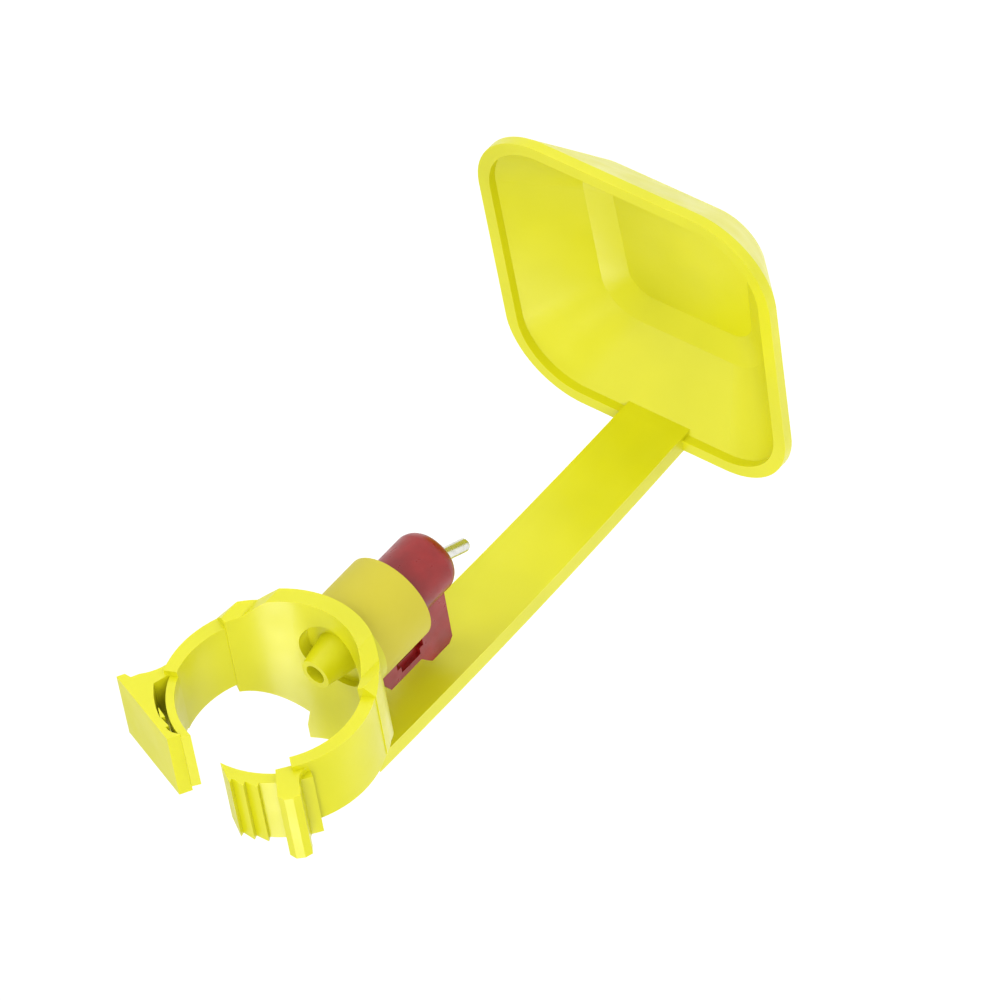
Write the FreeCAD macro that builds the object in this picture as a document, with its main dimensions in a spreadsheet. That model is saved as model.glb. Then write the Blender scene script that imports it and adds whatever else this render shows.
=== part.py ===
"""Poultry nipple drinker with a pipe clip and a hanging drip cup.

Frame: X runs along the water pipe, Z is up, and the origin is the centre of the
pipe's bore in the clip. The nipple points straight down and the cup hangs below it.
"""
import FreeCAD, Part
import Sketcher
import math
import os

doc = FreeCAD.newDocument("nipple_drinker")

# ---------------------------------------------------------------------------
# Driving dimensions: alias, value in millimetres (or degrees, or a count), meaning
# ---------------------------------------------------------------------------
SIZES = [
    ("pipe_dia", 25.0, "water pipe that the clip closes round"),
    ("saddle_wall", 2.5, "wall of the saddle under the pipe"),
    ("band_wall", 1.9, "wall of the two clip bands"),
    ("saddle_back", 8.8, "saddle end, behind the nipple axis"),
    ("band_back", 6.0, "back end of the clip bands"),
    ("band_front", 5.4, "front end of the clip bands"),
    ("saddle_half_angle", 68.0, "half of the arc that the saddle spans"),
    ("flare_inner", 5.6, "half width of the saddle where it meets the arm tab"),
    ("flare_outer", 11.8, "half width of the saddle where the flare starts"),
    ("flare_reach", 13.4, "front end of the flare"),
    ("step_half_width", 10.6, "half width of the saddle's longer back end"),
    ("jaw_open_angle", 2.0, "how far the jaw band is moulded open"),
    ("tongue_band_angle", 46.0, "end of the band under the tongue"),
    ("tongue_open_angle", 6.0, "how far the tongue band is moulded open"),
    ("flex_angle", 40.0, "where the bands flex, below the horizontal"),
    ("jaw_play", 0.5, "bore of the jaw's band, over the pipe's radius"),
    ("tongue_play", 0.02, "bore of the tongue's band, over the pipe's radius"),
    ("finger_wall", 1.2, "wall of the inner finger of the jaw"),
    ("finger_lean", 0.4, "how far the finger's tip leans inwards"),
    ("finger_back", 5.0, "back end of the inner finger"),
    ("finger_front", 4.9, "front end of the inner finger"),
    ("finger_tip_angle", 106.0, "tip of the inner finger"),
    ("jaw_slot", 1.7, "slot between the inner finger and the jaw"),
    ("jaw_slot_taper", 1.1, "how much the slot narrows towards its mouth"),
    ("jaw_slot_end_angle", 157.0, "closed end of the slot"),
    ("jaw_back", 5.3, "back end of the jaw"),
    ("jaw_front", 6.0, "front end of the jaw"),
    ("jaw_lip_reach", 21.3, "radius to the corner of the jaw's grip lip"),
    ("jaw_lip_angle", 152.5, "direction of the grip lip"),
    ("jaw_web_angle", 167.0, "where the jaw's web leaves the band"),
    ("jaw_web_radius", 7.0, "hollow curve of the web"),
    ("jaw_tip_reach", 15.6, "radius to the outer corner at the jaw's mouth"),
    ("jaw_tip_angle", 110.7, "direction of the jaw's mouth"),
    ("jaw_hook", 1.1, "how far the jaw's mouth hooks inwards"),
    ("lip_size", 1.0, "thickness of the grip lip"),
    ("tongue_bore", 27.2, "inside of the tongue's own curve"),
    ("tongue_wall", 1.7, "wall of the toothed tongue"),
    ("tongue_shift_out", 1.1, "centre of the tongue's curve, outwards"),
    ("tongue_shift_down", 0.85, "centre of the tongue's curve, downwards"),
    ("tongue_back", 4.3, "back end of the tongue"),
    ("tongue_front", 6.7, "front end of the tongue"),
    ("tongue_root_angle", 46.0, "root of the tongue"),
    ("tongue_tip_angle", 96.0, "tip of the tongue"),
    ("tongue_point_angle", 12.0, "length of the tongue's pointed end, with its first tooth"),
    ("tooth_rise", 0.8, "height of a ratchet tooth"),
    ("tooth_pitch_angle", 7.2, "pitch of the ratchet teeth"),
    ("tooth_count", 3, "ratchet teeth on the tongue"),
    ("grip_wall", 3.2, "thickness of the grip rib"),
    ("grip_rise", 4.0, "height of the grip rib above the tongue"),
    ("grip_angle", 54.4, "direction of the grip rib"),
    ("grip_root", 2.0, "concave root of the grip rib, towards the band"),
    ("grip_back", 5.2, "back end of the grip rib"),
    ("barrel_dia", 14.0, "nipple socket, outside"),
    ("barrel_end", 25.0, "mouth of the socket, below the pipe centre"),
    ("socket_dia", 9.8, "nipple socket, inside"),
    ("socket_floor", 15.6, "blind end of the socket, below the pipe centre"),
    ("recess_dia", 10.4, "round recess about the spigot"),
    ("recess_floor", 13.4, "floor of the recess, below the pipe centre"),
    ("spigot_base_dia", 6.6, "spigot at the recess floor"),
    ("spigot_tip_dia", 4.6, "spigot tip"),
    ("spigot_tip", 8.4, "spigot tip, below the pipe centre"),
    ("water_bore", 3.0, "water way through the spigot"),
    ("catch_rise", 1.2, "catch on the socket, beyond its wall"),
    ("catch_width", 5.0, "width of the catch"),
    ("catch_height", 1.2, "height of the catch"),
    ("arm_face", 16.1, "inner face of the arm, in front of the nipple axis"),
    ("arm_wall", 2.6, "thickness of the arm"),
    ("arm_top_half_width", 6.2, "half width of the arm at the tab"),
    ("arm_low_half_width", 5.4, "half width of the arm at the cup"),
    ("arm_top", 10.6, "top of the arm, below the pipe centre"),
    ("arm_bow", 0.8, "how far the arm bows away from the nipple"),
    ("arm_bend_radius", 2.0, "bend between the tab and the arm"),
    ("rim_level", 81.3, "rim of the cup, below the pipe centre"),
    ("cup_length", 49.8, "cup rim along the pipe"),
    ("cup_width", 50.8, "cup rim across the pipe, away from the arm"),
    ("cup_taper", 0.7, "how much nearer the middle each side is at the arm"),
    ("cup_corner", 12.0, "corner radius of the rim"),
    ("cup_lip", 1.6, "height of the upright lip"),
    ("rim_width", 2.0, "width of the rim face"),
    ("cup_wall", 1.6, "wall of the cup below the lip"),
    ("slope_depth", 11.0, "depth where the sloping wall ends"),
    ("slope_run", 9.4, "how far the sloping wall comes in"),
    ("slope_corner", 7.0, "corner radius where the slope ends"),
    ("cup_depth", 13.4, "overall depth of the cup"),
    ("foot_run", 13.4, "how far the foot of the cup comes in"),
    ("foot_corner", 4.4, "corner radius of the foot"),
    ("housing_dia", 9.6, "nipple housing"),
    ("housing_top", 15.9, "top of the housing, below the pipe centre"),
    ("housing_face", 34.2, "lower face of the housing"),
    ("face_dia", 7.8, "lower face of the housing"),
    ("face_round", 1.6, "height of the rounded lower edge"),
    ("ring_groove_dia", 7.5, "floor of the O-ring groove"),
    ("ring_width", 1.7, "width of the O-ring groove"),
    ("ring_level", 18.2, "top of the O-ring groove"),
    ("head_seat", 32.5, "ledge that carries the trigger pin"),
    ("chamber_dia", 5.6, "chamber round the trigger head"),
    ("bush_dia", 6.4, "metering bush"),
    ("bush_seat", 27.6, "ledge under the metering bush"),
    ("bush_height", 4.2, "height of the metering bush"),
    ("bush_fit", 0.03, "play of the bush in the housing"),
    ("bush_bore", 2.6, "bore of the metering bush"),
    ("throat_dia", 2.9, "top of the exit cone"),
    ("mouth_dia", 4.7, "mouth of the exit cone"),
    ("lug_half_width", 3.1, "half width of the latch"),
    ("lug_reach", 13.5, "front face of the latch lug"),
    ("lug_low", 32.2, "lower face of the latch lug"),
    ("lug_high", 26.4, "upper face of the latch lug"),
    ("lug_edge", 0.8, "bevels of the latch lug"),
    ("latch_face", 9.1, "inner face of the latch finger"),
    ("latch_wall", 2.2, "thickness of the latch finger"),
    ("shank_recess", 0.7, "recess in each side of the latch finger"),
    ("latch_top", 17.0, "top of the latch finger"),
    ("barb_slope", 1.9, "lead of the barb"),
    ("barb_face", 7.3, "inner face of the barb"),
    ("barb_low", 20.7, "lower face of the barb"),
    ("pin_dia", 2.0, "shank of the trigger pin"),
    ("pin_length", 10.3, "trigger pin below its head"),
    ("head_dia", 4.4, "head of the trigger pin"),
    ("head_height", 1.2, "head of the trigger pin"),
    ("head_edge", 0.25, "bevel on the small turned pieces"),
    ("pin_tilt", 24.0, "tilt of the trigger pin, tip towards the arm"),
    ("seat_ring_height", 1.0, "rubber seat ring"),
    ("seat_ring_bore", 3.0, "bore of the rubber seat ring"),
    ("stem_dia", 2.2, "stem of the valve pin"),
    ("valve_head_dia", 4.4, "head of the valve pin"),
    ("valve_head_height", 1.6, "head of the valve pin"),
    ("running_gap", 0.05, "running clearance between moving pieces"),
]

sheet = doc.addObject("Spreadsheet::Sheet", "sizes")
for row, (alias, value, meaning) in enumerate(SIZES, start=1):
    sheet.set("A%d" % row, meaning)
    sheet.set("B%d" % row, str(value))
    sheet.setAlias("B%d" % row, alias)
doc.recompute()


# ---------------------------------------------------------------------------
# Helpers
# ---------------------------------------------------------------------------
def size(alias):
    """Read one driving dimension."""
    return float(sheet.get(alias))


def bound(text):
    """Turn a formula of plain aliases into an expression on the sheet."""
    words = {alias for alias, _, _ in SIZES}
    out = ""
    word = ""
    for mark in text + " ":
        if mark.isalnum() or mark == "_":
            word += mark
            continue
        out += ("sizes." + word) if word in words else word
        out += mark
        word = ""
    return out.strip()


def value_of(thing, text):
    """Work a formula out through the document's own expression engine."""
    result = thing.evalExpression(bound(text))
    return float(getattr(result, "Value", result))


def new_body(name):
    body = doc.addObject("PartDesign::Body", name)
    body.Label = name
    return body


def sketch_on(body, role, name, lift=None):
    """Start a sketch on an origin plane, lifted along its normal by a formula."""
    sketch = body.newObject("Sketcher::SketchObject", name)
    plane = [item for item in body.Origin.OriginFeatures if item.Role == role][0]
    sketch.AttachmentSupport = [(plane, "")]
    sketch.MapMode = "FlatFace"
    if lift is not None:
        sketch.setExpression("AttachmentOffset.Base.z", bound(lift))
    return sketch


def place(sketch, edge, vertex, across, up):
    """Hold one vertex at two formulas, measured from the sketch's origin."""
    for kind, axis, text in (("DistanceX", -2, across), ("DistanceY", -1, up)):
        if text == "0":
            sketch.addConstraint(Sketcher.Constraint("PointOnObject", edge, vertex, axis))
            continue
        index = sketch.addConstraint(
            Sketcher.Constraint(kind, -1, 1, edge, vertex, value_of(sketch, text)))
        sketch.setExpression("Constraints[%d]" % index, bound(text))


def loop(sketch, corners):
    """Draw one closed loop.

    Each corner is (across, up) or (across, up, radius, side): with a radius, the edge
    that leaves the corner is an arc, which bulges to the right of the way round for
    side 1 and to the left for side -1.
    """
    spots = [FreeCAD.Vector(value_of(sketch, c[0]), value_of(sketch, c[1]), 0) for c in corners]
    ends = []
    for number, corner in enumerate(corners):
        start = spots[number]
        stop = spots[(number + 1) % len(corners)]
        if len(corner) == 2:
            edge = sketch.addGeometry(Part.LineSegment(start, stop), False)
            ends.append((edge, 1, 2))
            continue
        radius = value_of(sketch, corner[2])
        chord = stop - start
        half = chord.Length / 2
        rise = radius - math.sqrt(max(radius * radius - half * half, 0.0))
        right = FreeCAD.Vector(chord.y, -chord.x, 0).normalize()
        middle = (start + stop) * 0.5 + right * rise * corner[3]
        arc = Part.Arc(start, middle, stop)
        edge = sketch.addGeometry(arc, False)
        first = sketch.getPoint(edge, 1)
        if (first - start).Length < (first - stop).Length:
            ends.append((edge, 1, 2))
        else:
            ends.append((edge, 2, 1))
    for number, (edge, head, tail) in enumerate(ends):
        following, next_head, _ = ends[(number + 1) % len(ends)]
        sketch.addConstraint(Sketcher.Constraint("Coincident", edge, tail, following, next_head))
    for number, corner in enumerate(corners):
        edge, head, _ = ends[number]
        place(sketch, edge, head, corner[0], corner[1])
        if len(corner) > 2:
            index = sketch.addConstraint(
                Sketcher.Constraint("Radius", edge, value_of(sketch, corner[2])))
            sketch.setExpression("Constraints[%d]" % index, bound(corner[2]))


def pad(body, sketch, name, length):
    feature = body.newObject("PartDesign::Pad", name)
    feature.Profile = sketch
    feature.setExpression("Length", bound(length))
    return feature


def pocket_through(body, sketch, name):
    feature = body.newObject("PartDesign::Pocket", name)
    feature.Profile = sketch
    feature.Type = "ThroughAll"
    feature.Midplane = True
    return feature


def revolve(body, sketch, name, cut=False):
    """Turn a sketch on the XZ plane about the nipple axis."""
    kind = "PartDesign::Groove" if cut else "PartDesign::Revolution"
    feature = body.newObject(kind, name)
    feature.Profile = sketch
    feature.ReferenceAxis = (sketch, ["V_Axis"])
    feature.Angle = 360
    return feature


def polar(radius, angle):
    """Formulas for a point of a sketch at a radius and an angle in degrees."""
    return ("(%s) * cos(%s * 1 deg)" % (radius, angle),
            "(%s) * sin(%s * 1 deg)" % (radius, angle))


def circle(sketch, across, up, radius):
    edge = sketch.addGeometry(Part.Circle(
        FreeCAD.Vector(value_of(sketch, across), value_of(sketch, up), 0),
        FreeCAD.Vector(0, 0, 1), value_of(sketch, radius)), False)
    place(sketch, edge, 3, across, up)
    index = sketch.addConstraint(Sketcher.Constraint("Radius", edge, value_of(sketch, radius)))
    sketch.setExpression("Constraints[%d]" % index, bound(radius))


def edge_names(feature, wanted):
    """Names of the edges for which the test holds."""
    doc.recompute()
    return ["Edge%d" % number for number, edge in enumerate(feature.Shape.Edges, start=1)
            if wanted(edge)]


def fillet(body, base, name, radius, wanted):
    names = edge_names(base, wanted)
    print(name, len(names), "edges")
    feature = body.newObject("PartDesign::Fillet", name)
    feature.Base = (base, names)
    feature.setExpression("Radius", bound(radius))
    return feature


# ---------------------------------------------------------------------------
# The yellow moulding: cup, arm, saddle with its nipple socket, and pipe clip
# ---------------------------------------------------------------------------
clip = new_body("clip_arm_cup")


def cup_outline(name, level, inset, corner):
    """A rounded rectangle, a little narrower at the arm, at a level below the pipe."""
    sketch = sketch_on(clip, "XY_Plane", name, "-(%s)" % level)
    front = "arm_face + arm_wall - (%s)" % inset
    back = "arm_face + arm_wall - cup_length + (%s)" % inset
    near = "cup_width / 2 - cup_taper - (%s)" % inset
    far = "cup_width / 2 - (%s)" % inset
    corner = "(%s)" % corner
    loop(sketch, [
        (back, "-(%s) + %s" % (far, corner), corner, 1),
        ("%s + %s" % (back, corner), "-(%s)" % far),
        ("%s - %s" % (front, corner), "-(%s)" % near, corner, 1),
        (front, "-(%s) + %s" % (near, corner)),
        (front, "%s - %s" % (near, corner), corner, 1),
        ("%s - %s" % (front, corner), near),
        ("%s + %s" % (back, corner), far, corner, 1),
        (back, "%s - %s" % (far, corner)),
    ])
    return sketch


def cup_loft(kind, name, outlines):
    loft = clip.newObject(kind, name)
    loft.Profile = outlines[0]
    loft.Sections = outlines[1:]
    loft.Ruled = True
    return loft


cup_shell = cup_loft("PartDesign::AdditiveLoft", "CupShell", [
    cup_outline("CupRim", "rim_level", "0", "cup_corner"),
    cup_outline("CupLip", "rim_level + cup_lip", "0", "cup_corner"),
    cup_outline("CupSlope", "rim_level + slope_depth", "slope_run", "slope_corner"),
    cup_outline("CupFoot", "rim_level + cup_depth", "foot_run", "foot_corner"),
])
cup_hollow = cup_loft("PartDesign::SubtractiveLoft", "CupHollow", [
    cup_outline("HollowRim", "rim_level", "rim_width", "cup_corner - rim_width"),
    cup_outline("HollowLip", "rim_level + cup_lip + rim_width - 1.414 * cup_wall",
                "rim_width", "cup_corner - rim_width"),
    cup_outline("HollowSlope", "rim_level + slope_depth - 0.79 * cup_wall",
                "slope_run + 0.62 * cup_wall", "slope_corner - 0.62 * cup_wall"),
    cup_outline("HollowFoot", "rim_level + cup_depth - cup_wall",
                "foot_run + 0.27 * cup_wall", "foot_corner - 0.27 * cup_wall"),
])

# The arm: a tapered strip that bows away from the nipple and runs into the cup's wall.
arm_front = sketch_on(clip, "YZ_Plane", "ArmFront", "arm_face")
arm_foot = "-(rim_level + cup_lip + arm_wall / 2)"
loop(arm_front, [
    ("-arm_top_half_width", "-arm_top"),
    ("-arm_low_half_width", arm_foot),
    ("arm_low_half_width", arm_foot),
    ("arm_top_half_width", "-arm_top"),
])
arm = pad(clip, arm_front, "Arm", "arm_wall + arm_bow")

arm_back = sketch_on(clip, "XZ_Plane", "ArmBack")
arm_span = "rim_level - arm_top"
bow_radius = "(%s)^2 / (8 * arm_bow) + arm_bow / 2" % ("(%s)" % arm_span)
beyond = "arm_face + 2 * arm_wall + 2 * arm_bow"
loop(arm_back, [
    ("arm_face + arm_wall", "-rim_level", bow_radius, 1),
    ("arm_face + arm_wall", "-arm_top"),
    (beyond, "-arm_top"),
    (beyond, "-(rim_level + cup_lip + arm_wall)"),
    ("arm_face", "-(rim_level + cup_lip + arm_wall)"),
    ("arm_face + arm_wall", "-(rim_level + cup_lip)"),
])
arm_outside = pocket_through(clip, arm_back, "ArmOutside")
arm_inner = sketch_on(clip, "XZ_Plane", "ArmInner")
loop(arm_inner, [
    ("arm_face", "-rim_level", bow_radius, 1),
    ("arm_face", "-arm_top"),
])
arm_inside = pocket_through(clip, arm_inner, "ArmInside")

# The saddle: a shell under the pipe that narrows into a tab which carries the arm.
half_bore = "pipe_dia / 2"
saddle_outer = "(pipe_dia / 2 + saddle_wall)"
saddle_start = "(270 - saddle_half_angle)"
saddle_stop = "(270 + saddle_half_angle)"
saddle_ring = sketch_on(clip, "YZ_Plane", "SaddleRing", "-saddle_back")
loop(saddle_ring, [
    polar(half_bore, saddle_stop),
    polar(saddle_outer, saddle_stop) + (saddle_outer, -1),
    polar(saddle_outer, saddle_start),
    polar(half_bore, saddle_start) + (half_bore, 1),
])
saddle = pad(clip, saddle_ring, "Saddle", "saddle_back + arm_face + arm_wall / 2")


def trim(name, corners):
    """Cut the saddle in plan, on both sides of the nipple."""
    sketch = sketch_on(clip, "XY_Plane", name, "-(pipe_dia / 2 + saddle_wall)")
    loop(sketch, corners)
    feature = clip.newObject("PartDesign::Pocket", name + "Cut")
    feature.Profile = sketch
    feature.setExpression("Length", "sizes.pipe_dia")
    feature.Reversed = True
    return feature


wide = "(pipe_dia / 2 + 2 * saddle_wall)"
for side, sign in (("Left", "-1"), ("Right", "1")):
    trim("Flare" + side, [
        ("band_front", "%s * %s" % (sign, wide)),
        ("band_front", "%s * (flare_outer + 1)" % sign),
        ("band_front + 1", "%s * flare_outer" % sign),
        ("flare_reach", "%s * flare_inner" % sign),
        ("arm_face", "%s * arm_top_half_width" % sign),
        ("arm_face + arm_wall", "%s * arm_top_half_width" % sign),
        ("arm_face + arm_wall", "%s * %s" % (sign, wide)),
    ])
    trim("Back" + side, [
        ("-(saddle_back + 1)", "%s * %s" % (sign, wide)),
        ("-(saddle_back + 1)", "%s * (step_half_width - saddle_wall)" % sign),
        ("-saddle_back", "%s * (step_half_width - saddle_wall)" % sign),
        ("-(band_back + 1)", "%s * step_half_width" % sign),
        ("-(band_back + 1.6)", "%s * (step_half_width + 1.8)" % sign),
        ("-band_back", "%s * (step_half_width + 3.4)" % sign),
        ("-band_back", "%s * %s" % (sign, wide)),
    ])


# The two clip bands, each moulded open about a flex line low on its side of the ring.
def ear_sketch(name, side, opening, lift, out="0", down="0"):
    """A sketch on the YZ plane, turned outwards about the band's flex line."""
    sketch = sketch_on(clip, "YZ_Plane", name, lift)
    flex_across = "%d * pipe_dia / 2 * cos(flex_angle * 1 deg)" % side
    flex_up = "-pipe_dia / 2 * sin(flex_angle * 1 deg)"
    turn = "(%d * %s * 1 deg)" % (-side, opening)
    across = "%d * (%s)" % (side, out)
    up = "-(%s)" % down
    sketch.setExpression("AttachmentOffset.Base.x", bound(
        "%s + (%s - %s) * cos(%s) - (%s - (%s)) * sin(%s)"
        % (flex_across, across, flex_across, turn, up, flex_up, turn)))
    sketch.setExpression("AttachmentOffset.Base.y", bound(
        "%s + (%s - %s) * sin(%s) + (%s - (%s)) * cos(%s)"
        % (flex_up, across, flex_across, turn, up, flex_up, turn)))
    sketch.setExpression("AttachmentOffset.Rotation.Angle", bound(turn))
    doc.recompute()
    return sketch


def mirrored(points, side):
    """Turn a left-hand outline into its right-hand twin when side is 1."""
    if side < 0:
        return points
    return [("-(%s)" % p[0],) + tuple(p[1:3]) + ((-p[3],) if len(p) > 3 else ()) for p in points]


def band(name, side, opening, stop, play):
    """One side of the clip; its bore leaves the saddle's by the play at its end."""
    inner = "(pipe_dia / 2 + %s)" % play
    outer = "(pipe_dia / 2 + %s + band_wall)" % play
    start = "(180 + flex_angle)"
    sketch = ear_sketch(name, side, opening, "-band_back")
    loop(sketch, mirrored([
        polar(outer, start) + (outer, -1),
        polar(outer, stop),
        polar(inner, stop) + (inner, 1),
        polar(half_bore, start),
    ], side))
    return pad(clip, sketch, name + "Band", "band_back + band_front")


jaw_band = band("Jaw", -1, "jaw_open_angle", "jaw_slot_end_angle", "jaw_play")
tongue_band = band("Tongue", 1, "tongue_open_angle", "(180 - tongue_band_angle)", "tongue_play")

# The jaw: an inner finger against the pipe, a slot, and an outer jaw with a flat face.
finger_inner = "(pipe_dia / 2 + jaw_play)"
finger_outer = "(pipe_dia / 2 + jaw_play + finger_wall)"
slot_outer = "(pipe_dia / 2 + jaw_play + finger_wall + jaw_slot)"
slot_mouth = "(%s - jaw_slot_taper)" % slot_outer
finger_sketch = ear_sketch("FingerShape", -1, "jaw_open_angle", "-finger_back")
loop(finger_sketch, [
    polar(finger_inner, "(jaw_slot_end_angle + 3)") + (finger_inner, -1),
    polar("(%s - finger_lean)" % finger_inner, "finger_tip_angle"),
    polar("(%s - finger_lean)" % finger_outer, "(finger_tip_angle + 2)") + (finger_outer, 1),
    polar(finger_outer, "(jaw_slot_end_angle + 3)"),
])
finger = pad(clip, finger_sketch, "Finger", "finger_back + finger_front")

jaw_sketch = ear_sketch("JawShape", -1, "jaw_open_angle", "-jaw_back")
band_outer = "(pipe_dia / 2 + jaw_play + band_wall)"
loop(jaw_sketch, [
    polar(finger_outer, "(jaw_web_angle + 1)"),
    polar("(%s - 0.1)" % band_outer, "jaw_web_angle") + ("jaw_web_radius", 1),
    polar("(jaw_lip_reach - 3 * lip_size)", "(jaw_lip_angle + 2.6)"),
    polar("(jaw_lip_reach - 2 * lip_size)", "(jaw_lip_angle + 0.4)"),
    polar("(jaw_lip_reach - lip_size)", "(jaw_lip_angle + 1.8)"),
    polar("jaw_lip_reach", "jaw_lip_angle"),
    polar("jaw_tip_reach", "jaw_tip_angle"),
    polar("(%s - jaw_hook)" % slot_mouth, "(jaw_tip_angle - 1.4)"),
    polar("(%s - jaw_hook / 4)" % slot_mouth, "(jaw_tip_angle + 3)"),
    polar(slot_mouth, "(jaw_tip_angle + 6)") + (slot_outer, 1),
    polar(slot_outer, "(jaw_slot_end_angle - 7)"),
    polar(finger_outer, "jaw_slot_end_angle"),
])
jaw = pad(clip, jaw_sketch, "Jaw", "jaw_back + jaw_front")


def teeth(name, sketch, corners, length, reverse=False):
    """One ratchet tooth, repeated round the sketch's own origin, one fewer than the count."""
    loop(sketch, corners)
    one = pad(clip, sketch, name + "Tooth", length)
    doc.recompute()
    pattern = clip.newObject("PartDesign::PolarPattern", name + "Teeth")
    pattern.Originals = [one]
    pattern.Axis = (sketch, ["N_Axis"])
    pattern.Mode = "Spacing"
    pattern.setExpression("Offset", bound("tooth_pitch_angle"))
    pattern.setExpression("Occurrences", bound("tooth_count - 1"))
    pattern.Reversed = reverse
    clip.Tip = pattern
    return pattern


# The jaw's own teeth, in the slot, which the tongue's teeth click past and bite into.
jaw_tooth = ear_sketch("JawToothShape", -1, "jaw_open_angle", "-jaw_back")
teeth("Jaw", jaw_tooth, [
    polar("(%s + 0.25)" % slot_mouth, "(jaw_tip_angle + 8)"),
    polar("(%s - tooth_rise / 2)" % slot_mouth, "(jaw_tip_angle + 8)"),
    polar("(%s + 0.15)" % slot_mouth, "(jaw_tip_angle + 8 + tooth_pitch_angle)"),
    polar("(%s + 0.25)" % slot_mouth, "(jaw_tip_angle + 8 + tooth_pitch_angle)"),
], "jaw_back + jaw_front")

# The tongue: a curved strip with saw teeth outside, a pointed end and a grip rib.
tongue_inner = "(tongue_bore / 2)"
tongue_outer = "(tongue_bore / 2 + tongue_wall)"


def tongue_frame(name, lift):
    return ear_sketch(name, 1, "tongue_open_angle", lift, "tongue_shift_out", "tongue_shift_down")


tongue_sketch = tongue_frame("TongueShape", "-tongue_back")
loop(tongue_sketch, [
    polar(tongue_inner, "(tongue_root_angle - 4)"),
    polar(tongue_outer, "(tongue_root_angle - 4)") + (tongue_outer, 1),
    polar(tongue_outer, "(tongue_tip_angle - tongue_point_angle)"),
    polar("(%s + tooth_rise)" % tongue_outer, "(tongue_tip_angle - tongue_point_angle)"),
    polar(tongue_inner, "tongue_tip_angle") + (tongue_inner, -1),
])
tongue = pad(clip, tongue_sketch, "Tongue", "tongue_back + tongue_front")
tooth_base = "(tongue_tip_angle - tongue_point_angle)"
tongue_tooth = tongue_frame("TongueToothShape", "-tongue_back")
teeth("Tongue", tongue_tooth, [
    polar("(%s - 0.2)" % tongue_outer, "(%s - tooth_pitch_angle)" % tooth_base),
    polar("(%s + tooth_rise)" % tongue_outer, "(%s - tooth_pitch_angle)" % tooth_base),
    polar("(%s + 0.05)" % tongue_outer, tooth_base),
    polar("(%s - 0.2)" % tongue_outer, tooth_base),
], "tongue_back + tongue_front", reverse=True)

def tongue_polar(radius, angle):
    """A point about the centre of the tongue's curve, in the band's own frame."""
    across, up = polar(radius, angle)
    return ("tongue_shift_out + %s" % across, "%s - tongue_shift_down" % up)


grip_sketch = ear_sketch("GripShape", 1, "tongue_open_angle", "-grip_back")
grip_top = "(tongue_bore / 2 + tongue_wall + grip_rise)"
grip_low = "(tongue_bore / 2 + tongue_wall + grip_root)"
half_turn = "28.65 * grip_wall / %s"
loop(grip_sketch, [
    polar("(pipe_dia / 2 + tongue_play + band_wall / 2)", "(tongue_band_angle - 8)"),
    polar("(pipe_dia / 2 + tongue_play + band_wall - 0.05)", "(tongue_band_angle - 8)")
    + ("1.5 * grip_root", -1),
    tongue_polar(grip_low, "(grip_angle - %s)" % (half_turn % grip_low)),
    tongue_polar("(%s - 0.5)" % grip_top, "(grip_angle - %s)" % (half_turn % grip_top)),
    tongue_polar(grip_top, "(grip_angle - 1.6)"),
    tongue_polar(grip_top, "(grip_angle + 2)"),
    tongue_polar("(%s - 0.8)" % grip_top, "(grip_angle + %s)" % (half_turn % grip_top)),
    tongue_polar("(%s + 0.1)" % tongue_inner, "(grip_angle + %s)" % (half_turn % tongue_inner)),
])
grip = pad(clip, grip_sketch, "Grip", "grip_back + tongue_front")

# The nipple socket under the saddle, with the pierced spigot that feeds it.
barrel_sketch = sketch_on(clip, "XY_Plane", "BarrelShape", "-barrel_end")
circle(barrel_sketch, "0", "0", "barrel_dia / 2")
barrel = pad(clip, barrel_sketch, "Barrel", "barrel_end - pipe_dia / 2 + saddle_wall / 2")

catch_sketch = sketch_on(clip, "XZ_Plane", "CatchShape", "-catch_width / 2")
catch_top = "-(barb_low + running_gap)"
loop(catch_sketch, [
    ("barrel_dia / 2 - 1", catch_top),
    ("barrel_dia / 2 + catch_rise", catch_top),
    ("barrel_dia / 2 + catch_rise", "%s - catch_height / 2" % catch_top),
    ("barrel_dia / 2 - 1", "%s - 2 * catch_height" % catch_top),
])
catch = pad(clip, catch_sketch, "Catch", "catch_width")

pipe_sketch = sketch_on(clip, "YZ_Plane", "PipeBore")
circle(pipe_sketch, "0", "0", "pipe_dia / 2")
pipe_bore = pocket_through(clip, pipe_sketch, "PipeBoreCut")

recess_sketch = sketch_on(clip, "XZ_Plane", "RecessShape")
loop(recess_sketch, [
    ("0", "-recess_floor"),
    ("recess_dia / 2", "-recess_floor"),
    ("recess_dia / 2", "-(spigot_tip - 1)"),
    ("0", "-(spigot_tip - 1)"),
])
recess = revolve(clip, recess_sketch, "Recess", cut=True)
spigot_sketch = sketch_on(clip, "XZ_Plane", "SpigotShape")
loop(spigot_sketch, [
    ("0", "-(recess_floor + 1)"),
    ("spigot_base_dia / 2", "-(recess_floor + 1)"),
    ("spigot_base_dia / 2", "-recess_floor"),
    ("spigot_tip_dia / 2", "-spigot_tip"),
    ("0", "-spigot_tip"),
])
spigot = revolve(clip, spigot_sketch, "Spigot")
socket_sketch = sketch_on(clip, "XZ_Plane", "SocketShape")
loop(socket_sketch, [
    ("0", "-(spigot_tip - 1)"),
    ("water_bore / 2", "-(spigot_tip - 1)"),
    ("water_bore / 2", "-socket_floor"),
    ("socket_dia / 2", "-socket_floor"),
    ("socket_dia / 2", "-(barrel_end + 1)"),
    ("0", "-(barrel_end + 1)"),
])
socket = revolve(clip, socket_sketch, "Socket", cut=True)
clip.Tip = socket
doc.recompute()


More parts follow.
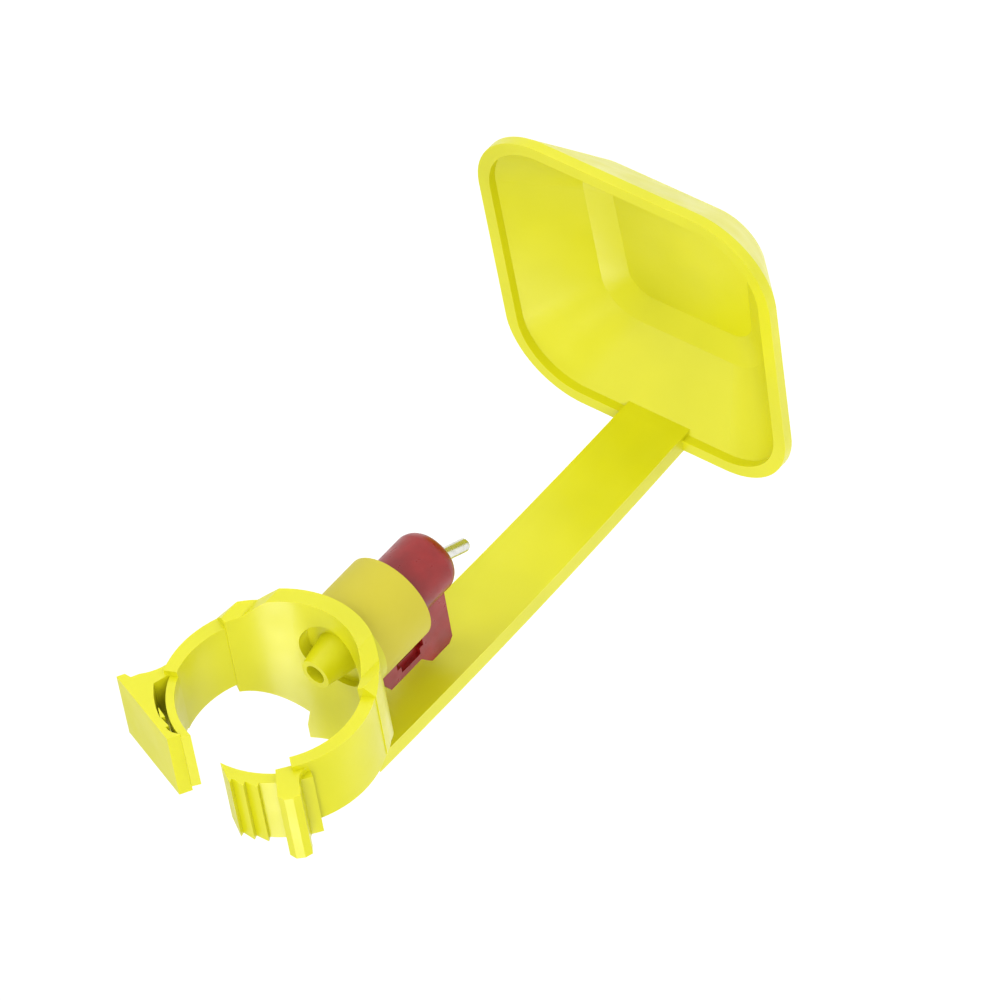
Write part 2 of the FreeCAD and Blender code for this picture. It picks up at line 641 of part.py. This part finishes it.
# ---------------------------------------------------------------------------
# The red housing: a turned body with a snap latch on the side of the arm
# ---------------------------------------------------------------------------
housing = new_body("nipple_housing")
ring_low = "-(ring_level + ring_width)"
housing_shape = sketch_on(housing, "XZ_Plane", "HousingShape")
loop(housing_shape, [
    ("bush_dia / 2 + bush_fit", "-housing_top"),
    ("housing_dia / 2", "-housing_top"),
    ("housing_dia / 2", "-ring_level"),
    ("ring_groove_dia / 2", "-ring_level"),
    ("ring_groove_dia / 2", ring_low),
    ("housing_dia / 2", ring_low),
    ("housing_dia / 2", "-(housing_face - face_round)", "1.6 * face_round", -1),
    ("face_dia / 2", "-housing_face"),
    ("mouth_dia / 2", "-housing_face"),
    ("throat_dia / 2", "-head_seat"),
    ("chamber_dia / 2", "-head_seat"),
    ("chamber_dia / 2", "-bush_seat"),
    ("bush_dia / 2 + bush_fit", "-bush_seat"),
])
revolve(housing, housing_shape, "HousingTurned")

latch_shape = sketch_on(housing, "XZ_Plane", "LatchShape", "-lug_half_width")
latch_outer = "latch_face + latch_wall"
loop(latch_shape, [
    ("(chamber_dia + housing_dia) / 4", "-lug_low"),
    ("lug_reach - lug_edge", "-lug_low"),
    ("lug_reach", "-(lug_low - lug_edge)"),
    ("lug_reach", "-(lug_high + 1.5 * lug_edge)"),
    ("lug_reach - lug_edge", "-(lug_high + lug_edge / 2)"),
    (latch_outer, "-(lug_high - lug_edge)"),
    (latch_outer, "-(latch_top + barb_slope)"),
    ("barb_face + barb_slope / 3", "-latch_top"),
    ("barb_face", "-(latch_top + barb_slope / 3)"),
    ("barb_face", "-barb_low"),
    ("latch_face", "-barb_low"),
    ("latch_face", "-lug_high"),
    ("(chamber_dia + housing_dia) / 4", "-lug_high"),
])
pad(housing, latch_shape, "Latch", "2 * lug_half_width")
for name, lift in (("Left", "-lug_half_width"), ("Right", "lug_half_width - shank_recess")):
    shank_shape = sketch_on(housing, "XZ_Plane", "Shank" + name, lift)
    loop(shank_shape, [
        ("latch_face - running_gap", "-(lug_high - lug_edge)"),
        ("latch_face + latch_wall / 2", "-(lug_high - lug_edge)"),
        ("latch_face + latch_wall / 2", "-(barb_low + lug_edge)"),
        ("latch_face - running_gap", "-(barb_low + lug_edge)"),
    ])
    shank = housing.newObject("PartDesign::Pocket", "ShankRecess" + name)
    shank.Profile = shank_shape
    shank.Reversed = True
    shank.setExpression("Length", bound("shank_recess"))

# ---------------------------------------------------------------------------
# The turned metal pins, the metering bush and the two rubber rings
# ---------------------------------------------------------------------------
trigger = new_body("trigger_pin")
trigger_shape = sketch_on(trigger, "XZ_Plane", "TriggerShape")
loop(trigger_shape, [
    ("0", "head_height"),
    ("head_dia / 2 - head_edge", "head_height"),
    ("head_dia / 2", "head_height - head_edge"),
    ("head_dia / 2", "0"),
    ("pin_dia / 2", "0"),
    ("pin_dia / 2", "-(pin_length - pin_dia / 4)", "pin_dia / 3", -1),
    ("pin_dia / 5", "-pin_length"),
    ("0", "-pin_length"),
])
revolve(trigger, trigger_shape, "TriggerTurned")
trigger.Placement.Rotation = FreeCAD.Rotation(FreeCAD.Vector(0, 1, 0), -1)
trigger.setExpression("Placement.Rotation.Angle", bound("-pin_tilt * 1 deg"))
trigger.setExpression("Placement.Base.x", bound("-head_dia / 2 * (1 - cos(pin_tilt * 1 deg))"))
trigger.setExpression("Placement.Base.z", bound(
    "-head_seat + head_dia / 2 * sin(pin_tilt * 1 deg)"))

bush = new_body("valve_seat_bush")
bush_shape = sketch_on(bush, "XZ_Plane", "BushShape")
bush_top = "-(bush_seat - bush_height)"
loop(bush_shape, [
    ("bush_bore / 2", "-bush_seat"),
    ("bush_dia / 2 - head_edge", "-bush_seat"),
    ("bush_dia / 2", "-(bush_seat - head_edge)"),
    ("bush_dia / 2", bush_top),
    ("bush_bore / 2", bush_top),
])
revolve(bush, bush_shape, "BushTurned")

seat_ring = new_body("seat_ring")
seat_shape = sketch_on(seat_ring, "XZ_Plane", "SeatShape")
seat_top = "-(bush_seat - bush_height - seat_ring_height)"
loop(seat_shape, [
    ("seat_ring_bore / 2", bush_top),
    ("bush_dia / 2", bush_top),
    ("bush_dia / 2", seat_top),
    ("seat_ring_bore / 2", seat_top),
])
revolve(seat_ring, seat_shape, "SeatTurned")

# The lift is what a tilt of the trigger's head gives a round-ended stem on its axis.
lift = ("(head_dia / 2 * tan(pin_tilt * 1 deg)"
        " + (head_height + stem_dia / 2) * (1 / cos(pin_tilt * 1 deg) - 1))")
valve = new_body("valve_pin")
valve_shape = sketch_on(valve, "XZ_Plane", "ValveShape")
stem_foot = "-(head_seat - head_height - running_gap)"
loop(valve_shape, [
    ("0", stem_foot, "stem_dia / 2", 1),
    ("stem_dia / 2", "%s + stem_dia / 2" % stem_foot),
    ("stem_dia / 2", seat_top),
    ("valve_head_dia / 2", seat_top),
    ("valve_head_dia / 2", "%s + valve_head_height - head_edge" % seat_top),
    ("valve_head_dia / 2 - head_edge", "%s + valve_head_height" % seat_top),
    ("0", "%s + valve_head_height" % seat_top),
])
revolve(valve, valve_shape, "ValveTurned")
valve.setExpression("Placement.Base.z", bound(lift))

o_ring = new_body("housing_o_ring")
o_ring_shape = sketch_on(o_ring, "XZ_Plane", "RingShape")
ring_middle = "-(ring_level + ring_width / 2)"
ring_edge = "(socket_dia - ring_groove_dia) / 8"
ring_half = "(ring_width / 2 - 0.1)"
loop(o_ring_shape, [
    ("ring_groove_dia / 2 + %s" % ring_edge, "%s - %s" % (ring_middle, ring_half)),
    ("socket_dia / 2 - %s" % ring_edge, "%s - %s" % (ring_middle, ring_half)),
    ("socket_dia / 2", "%s - %s / 2" % (ring_middle, ring_half)),
    ("socket_dia / 2", "%s + %s / 2" % (ring_middle, ring_half)),
    ("socket_dia / 2 - %s" % ring_edge, "%s + %s" % (ring_middle, ring_half)),
    ("ring_groove_dia / 2 + %s" % ring_edge, "%s + %s" % (ring_middle, ring_half)),
    ("ring_groove_dia / 2", "%s + %s / 2" % (ring_middle, ring_half)),
    ("ring_groove_dia / 2", "%s - %s / 2" % (ring_middle, ring_half)),
])
revolve(o_ring, o_ring_shape, "RingTurned")


# ---------------------------------------------------------------------------
# Checks and files
# ---------------------------------------------------------------------------
doc.recompute()
failed = [item.Name for item in doc.Objects
          if "Invalid" in item.State or "Error" in item.State]
if failed:
    raise RuntimeError("failed objects: " + ", ".join(failed))

os.makedirs("parts", exist_ok=True)
for body in (clip, housing, trigger, bush, seat_ring, valve, o_ring):
    shape = body.Shape
    if shape.isNull() or not shape.isValid() or len(shape.Solids) != 1:
        raise RuntimeError("bad shape: " + body.Label)
    shape.exportStep("parts/%s.step" % body.Label)
    print("%-16s %9.1f mm3" % (body.Label, shape.Volume))
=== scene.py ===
"""Poultry nipple drinker: finishes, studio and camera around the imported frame."""
import bpy
from math import cos, radians, sin
from mathutils import Matrix, Vector


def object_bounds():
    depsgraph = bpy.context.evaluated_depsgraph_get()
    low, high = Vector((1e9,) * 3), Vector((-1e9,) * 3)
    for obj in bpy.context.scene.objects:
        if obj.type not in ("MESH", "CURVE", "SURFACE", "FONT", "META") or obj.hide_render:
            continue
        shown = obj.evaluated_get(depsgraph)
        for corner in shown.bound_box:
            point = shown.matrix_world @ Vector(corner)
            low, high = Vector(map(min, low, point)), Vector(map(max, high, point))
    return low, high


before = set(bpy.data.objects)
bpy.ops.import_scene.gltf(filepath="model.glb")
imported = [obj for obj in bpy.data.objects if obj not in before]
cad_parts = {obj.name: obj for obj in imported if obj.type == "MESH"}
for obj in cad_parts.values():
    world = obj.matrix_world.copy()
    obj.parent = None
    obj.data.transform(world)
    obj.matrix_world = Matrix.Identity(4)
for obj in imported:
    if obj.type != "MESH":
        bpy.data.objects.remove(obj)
cad_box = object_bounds()

MM = 0.001


# ---------------------------------------------------------------------------
# Node helpers for the materials
# ---------------------------------------------------------------------------
DISPLAY_WHITE = 255.0
NOISE_ROUGHNESS = 0.5

# The Mix node's colour sockets share their names with its other types, so they go by place.
MIX_FIRST = 6
MIX_SECOND = 7
MIX_RESULT = 2


def srgb(red, green, blue):
    """A linear colour from 0-255 display values, by the sRGB curve."""
    def linear(value):
        value /= DISPLAY_WHITE
        if value <= 0.04045:
            return value / 12.92
        return ((value + 0.055) / 1.055) ** 2.4
    return (linear(red), linear(green), linear(blue), 1.0)


class Finish:
    """A material with a Principled shader and helpers that add nodes to it."""

    def __init__(self, name):
        self.material = bpy.data.materials.new(name)
        self.material.use_nodes = True
        self.nodes = self.material.node_tree.nodes
        self.links = self.material.node_tree.links
        self.shader = self.nodes["Principled BSDF"]
        self.place = self.add("ShaderNodeTexCoord").outputs["Object"]

    def add(self, kind, **values):
        """A new node with some of its settings."""
        node = self.nodes.new(kind)
        for name, value in values.items():
            setattr(node, name, value)
        return node

    def set(self, **values):
        """Uniform values, straight on the shader's sockets."""
        for name, value in values.items():
            self.shader.inputs[name.replace("_", " ")].default_value = value

    def feed(self, name, socket):
        """A varying value for one of the shader's sockets."""
        self.links.new(socket, self.shader.inputs[name])

    def math(self, operation, *values):
        """A Math node whose inputs are sockets or numbers."""
        node = self.add("ShaderNodeMath", operation=operation)
        for socket, value in zip(node.inputs, values):
            if isinstance(value, (int, float)):
                socket.default_value = value
            else:
                self.links.new(value, socket)
        return node.outputs[0]

    def noise(self, scale, detail=3.0, stretch=(1, 1, 1)):
        """Noise in the object's own space, with about `scale` cells to a metre."""
        mapping = self.add("ShaderNodeMapping")
        mapping.inputs["Scale"].default_value = stretch
        self.links.new(self.place, mapping.inputs["Vector"])
        noise = self.add("ShaderNodeTexNoise")
        noise.inputs["Scale"].default_value = scale
        noise.inputs["Detail"].default_value = detail
        noise.inputs["Roughness"].default_value = NOISE_ROUGHNESS
        self.links.new(mapping.outputs["Vector"], noise.inputs["Vector"])
        return noise.outputs["Fac"]

    def ramp(self, value, low, high, start=0.3, stop=0.7):
        """Spread a value's stretch from start to stop over low to high."""
        node = self.add("ShaderNodeMapRange")
        node.inputs["From Min"].default_value = start
        node.inputs["From Max"].default_value = stop
        node.inputs["To Min"].default_value = low
        node.inputs["To Max"].default_value = high
        self.links.new(value, node.inputs["Value"])
        return node.outputs["Result"]

    def mix(self, factor, first, second):
        """Mix two colours, each a tuple or a socket."""
        node = self.add("ShaderNodeMix", data_type="RGBA")
        self.links.new(factor, node.inputs["Factor"])
        for place, colour in ((MIX_FIRST, first), (MIX_SECOND, second)):
            if isinstance(colour, tuple):
                node.inputs[place].default_value = colour
            else:
                self.links.new(colour, node.inputs[place])
        return node.outputs[MIX_RESULT]

    def bump(self, height, strength, distance):
        """Bump from a height, laid over any bump that is there already."""
        node = self.add("ShaderNodeBump")
        node.inputs["Strength"].default_value = strength
        node.inputs["Distance"].default_value = distance
        self.links.new(height, node.inputs["Height"])
        normal = self.shader.inputs["Normal"]
        if normal.links:
            self.links.new(normal.links[0].from_socket, node.inputs["Normal"])
        self.links.new(node.outputs["Normal"], normal)


# ---------------------------------------------------------------------------
# Finishes
# ---------------------------------------------------------------------------
YELLOW = srgb(206, 203, 20)
YELLOW_SHADE = srgb(196, 194, 10)
BARREL_YELLOW = srgb(184, 173, 36)
BARREL_DULLNESS = 0.22      # added to the roughness on the socket
SOCKET_RADIUS = 7.3 * MM
SOCKET_TOP = -15.3 * MM
SOCKET_END = -25.6 * MM

RED = srgb(142, 22, 22)
RED_SHADE = srgb(118, 14, 16)

PIN_STEEL = srgb(214, 214, 208)
VALVE_STEEL = srgb(200, 200, 198)
SCUFF_SHADE = 0.82          # a scuff's brightness beside the bare steel's
TURNING_STRETCH = (0.04, 0.04, 1.0)

RUBBER = srgb(22, 22, 22)
RUBBER_DUST = srgb(38, 37, 36)

PAPER = (0.93, 0.93, 0.93, 1.0)
PAPER_SHADE = (0.91, 0.91, 0.91, 1.0)


def barrel_mask(finish):
    """1 within the nipple socket's outline, 0 elsewhere."""
    split = finish.add("ShaderNodeSeparateXYZ")
    finish.links.new(finish.place, split.inputs[0])
    x, y, z = split.outputs
    squared_reach = finish.math("ADD", finish.math("POWER", x, 2.0), finish.math("POWER", y, 2.0))
    near_axis = finish.math("LESS_THAN", squared_reach, SOCKET_RADIUS ** 2)
    below_top = finish.math("LESS_THAN", z, SOCKET_TOP)
    above_end = finish.math("GREATER_THAN", z, SOCKET_END)
    return finish.math("MULTIPLY", finish.math("MULTIPLY", near_axis, below_top), above_end)


def yellow_plastic():
    """Satin polypropylene, with the socket's surface duller than the rest."""
    finish = Finish("yellow_plastic")
    on_barrel = barrel_mask(finish)
    cloud = finish.ramp(finish.noise(scale=60, detail=2.0), low=0.0, high=1.0)
    colour = finish.mix(on_barrel, finish.mix(cloud, YELLOW, YELLOW_SHADE), BARREL_YELLOW)
    finish.feed("Base Color", colour)
    satin = finish.ramp(finish.noise(scale=180, detail=4.0), low=0.30, high=0.42)
    finish.feed("Roughness", finish.math("MULTIPLY_ADD", on_barrel, BARREL_DULLNESS, satin))
    finish.set(IOR=1.49, Subsurface_Weight=0.12, Subsurface_Radius=(0.9, 0.7, 0.12),
               Subsurface_Scale=1.2 * MM)
    finish.bump(finish.noise(scale=900), strength=0.10, distance=0.12 * MM)
    finish.bump(finish.noise(scale=5200, detail=2.0), strength=0.05, distance=0.03 * MM)
    return finish.material


def red_plastic():
    """Dark red acetal, glossy, with a faint moulded mottle."""
    finish = Finish("red_plastic")
    cloud = finish.ramp(finish.noise(scale=240), low=0.0, high=1.0)
    finish.feed("Base Color", finish.mix(cloud, RED, RED_SHADE))
    finish.feed("Roughness", finish.ramp(finish.noise(scale=700, detail=4.0), low=0.26, high=0.42))
    finish.set(IOR=1.48, Subsurface_Weight=0.06, Subsurface_Radius=(1.0, 0.1, 0.1),
               Subsurface_Scale=0.6 * MM)
    finish.bump(finish.noise(scale=1800), strength=0.12, distance=0.06 * MM)
    return finish.material


def turned_steel(name, tone):
    """Stainless steel with fine turning rings and light scuffs."""
    finish = Finish(name)
    rings = finish.noise(scale=30000, detail=2.0, stretch=TURNING_STRETCH)
    scuffs = finish.noise(scale=1400, detail=5.0)
    scuffed_tone = tuple(SCUFF_SHADE * part for part in tone[:3]) + (1.0,)
    finish.feed("Base Color", finish.mix(finish.ramp(scuffs, low=0.0, high=1.0), tone, scuffed_tone))
    finish.feed("Roughness", finish.ramp(scuffs, low=0.20, high=0.34))
    finish.set(Metallic=1.0)
    finish.bump(rings, strength=0.15, distance=0.02 * MM)
    return finish.material


def seal_rubber():
    """Black rubber with a little dust."""
    finish = Finish("seal_rubber")
    dust = finish.ramp(finish.noise(scale=1500, detail=4.0), low=0.0, high=1.0)
    finish.feed("Base Color", finish.mix(dust, RUBBER, RUBBER_DUST))
    finish.feed("Roughness", finish.ramp(dust, low=0.55, high=0.75, start=0.0, stop=1.0))
    finish.bump(finish.noise(scale=4000), strength=0.2, distance=0.05 * MM)
    return finish.material


def studio_floor():
    """Matt white paper."""
    finish = Finish("floor_paper")
    cloud = finish.ramp(finish.noise(scale=3, detail=2.0), low=0.0, high=1.0)
    finish.feed("Base Color", finish.mix(cloud, PAPER, PAPER_SHADE))
    finish.set(Roughness=0.9)
    return finish.material


def dress(material, *nodes):
    """Give a material to every slot of the nodes named."""
    for node in nodes:
        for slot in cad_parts[node].material_slots:
            slot.material = material


dress(yellow_plastic(), "clip_arm_cup")
dress(red_plastic(), "nipple_housing")
dress(turned_steel("pin_steel", PIN_STEEL), "trigger_pin")
dress(turned_steel("valve_steel", VALVE_STEEL), "valve_pin", "valve_seat_bush")
dress(seal_rubber(), "seat_ring", "housing_o_ring")


# ---------------------------------------------------------------------------
# Studio: floor, lights, camera
# ---------------------------------------------------------------------------
FLOOR_DROP = 0.12
FLOOR_SIZE = 6.0
WORLD_STRENGTH = 0.75
WHITE = (1, 1, 1, 1)

LIGHTS = {
    "key": {"spot": (-0.55, 0.75, 0.85), "size": 0.7, "power": 9.0},
    "fill": {"spot": (-0.9, -0.5, 0.4), "size": 0.9, "power": 5.0},
    "back": {"spot": (0.7, 0.3, 0.7), "size": 0.6, "power": 4.0},
}

CAMERA_AZIMUTH = 235.37
CAMERA_ELEVATION = 29.39
CAMERA_ROLL = 135.72
CAMERA_DISTANCE = 1.2153
CAMERA_TARGET = (-0.00507, 0.00522, -0.04390)
CAMERA_LENS = 319.7         # millimetres, as the sensor's width
CAMERA_SENSOR = 36.0
CAMERA_REACH = 20.0

low, high = Vector(cad_box[0]), Vector(cad_box[1])
middle = (low + high) / 2


def make_floor():
    """A wide sheet below the part, kept out of the part's own pieces."""
    level = low.z - FLOOR_DROP
    half = FLOOR_SIZE / 2
    mesh = bpy.data.meshes.new("floor")
    mesh.from_pydata([(-half, -half, level), (half, -half, level),
                      (half, half, level), (-half, half, level)], [], [(0, 1, 2, 3)])
    floor = bpy.data.objects.new("floor", mesh)
    mesh.materials.append(studio_floor())
    bpy.context.scene.collection.objects.link(floor)


def soft_light(name, spot, size, power):
    """A large area light that faces the middle of the object."""
    light = bpy.data.lights.new(name, "AREA")
    light.shape = "DISK"
    light.size = size
    light.energy = power
    holder = bpy.data.objects.new(name, light)
    holder.location = spot
    holder.rotation_euler = (middle - Vector(spot)).to_track_quat("-Z", "Y").to_euler()
    bpy.context.scene.collection.objects.link(holder)


def make_world():
    """An even white surround."""
    world = bpy.data.worlds.new("studio")
    world.use_nodes = True
    background = world.node_tree.nodes["Background"]
    background.inputs["Color"].default_value = WHITE
    background.inputs["Strength"].default_value = WORLD_STRENGTH
    bpy.context.scene.world = world


def make_camera():
    """A long lens that looks down on the part, rolled so that the cup is upper right."""
    azimuth = radians(CAMERA_AZIMUTH)
    elevation = radians(CAMERA_ELEVATION)
    roll = radians(CAMERA_ROLL)
    forward = Vector((-sin(azimuth) * cos(elevation), cos(azimuth) * cos(elevation),
                      -sin(elevation)))
    level = forward.cross(Vector((0, 0, 1))).normalized()
    upright = level.cross(forward)
    up = upright * cos(roll) + level * sin(roll)
    right = level * cos(roll) - upright * sin(roll)
    camera = bpy.data.cameras.new("camera")
    camera.lens = CAMERA_LENS
    camera.sensor_width = CAMERA_SENSOR
    camera.clip_end = CAMERA_REACH
    holder = bpy.data.objects.new("camera", camera)
    turn = Matrix((right, up, -forward)).transposed().to_4x4()
    spot = Vector(CAMERA_TARGET) - forward * CAMERA_DISTANCE
    holder.matrix_world = Matrix.Translation(spot) @ turn
    bpy.context.scene.collection.objects.link(holder)
    bpy.context.scene.camera = holder


make_floor()
make_world()
for name, values in LIGHTS.items():
    soft_light(name, **values)
make_camera()
bpy.context.scene.view_settings.view_transform = "Standard"
